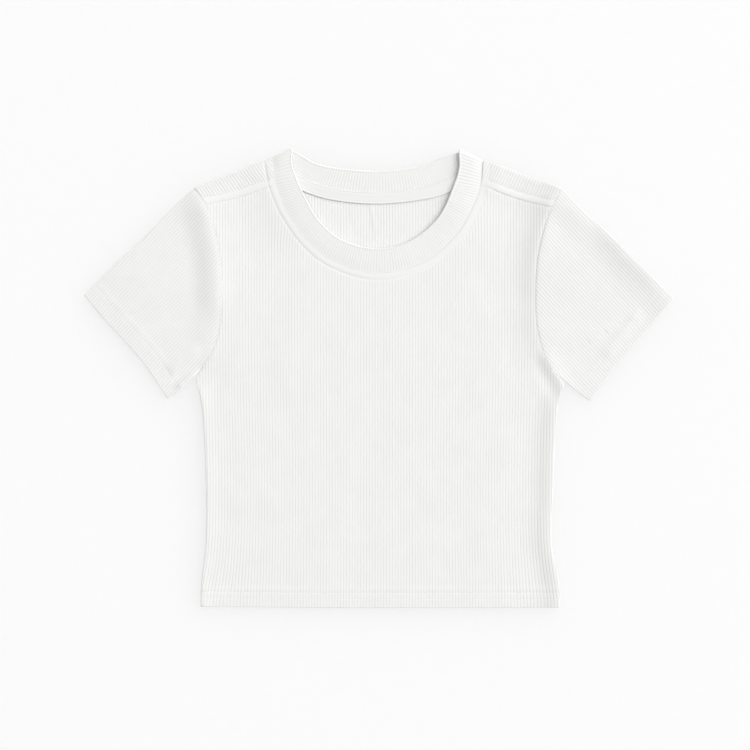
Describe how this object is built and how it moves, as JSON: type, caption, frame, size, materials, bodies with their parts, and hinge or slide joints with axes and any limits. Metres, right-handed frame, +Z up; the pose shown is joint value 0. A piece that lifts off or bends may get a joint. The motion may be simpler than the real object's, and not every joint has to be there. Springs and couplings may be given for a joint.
{
  "type": "crop top",
  "caption": "Cropped short-sleeved top in fine rib knit with a wide round neckband, forward shoulder seams and twin-stitched hems, laid flat with its front up.",
  "frame": {"origin": "middle of the garment's outline seen from above, on the surface it lies on", "axes": "+X to the right of the front seen from above, +Y from the hem to the neck, +Z up off the surface"},
  "size_m": [0.5726, 0.4469, 0.0059],
  "materials": {
    "rib_knit": "white cotton rib knit, matt, twin-needle hems",
    "band_rib": "white cotton rib knit, folded double, matt",
    "neck_tape": "white plain jersey tape, matt"
  },
  "bodies": {
    "root": {"back": "rib_knit", "front": "rib_knit", "sleeve_left": "rib_knit", "sleeve_right": "rib_knit", "neckband": "band_rib", "neck_tape": "neck_tape"}
  },
  "joints": []
}
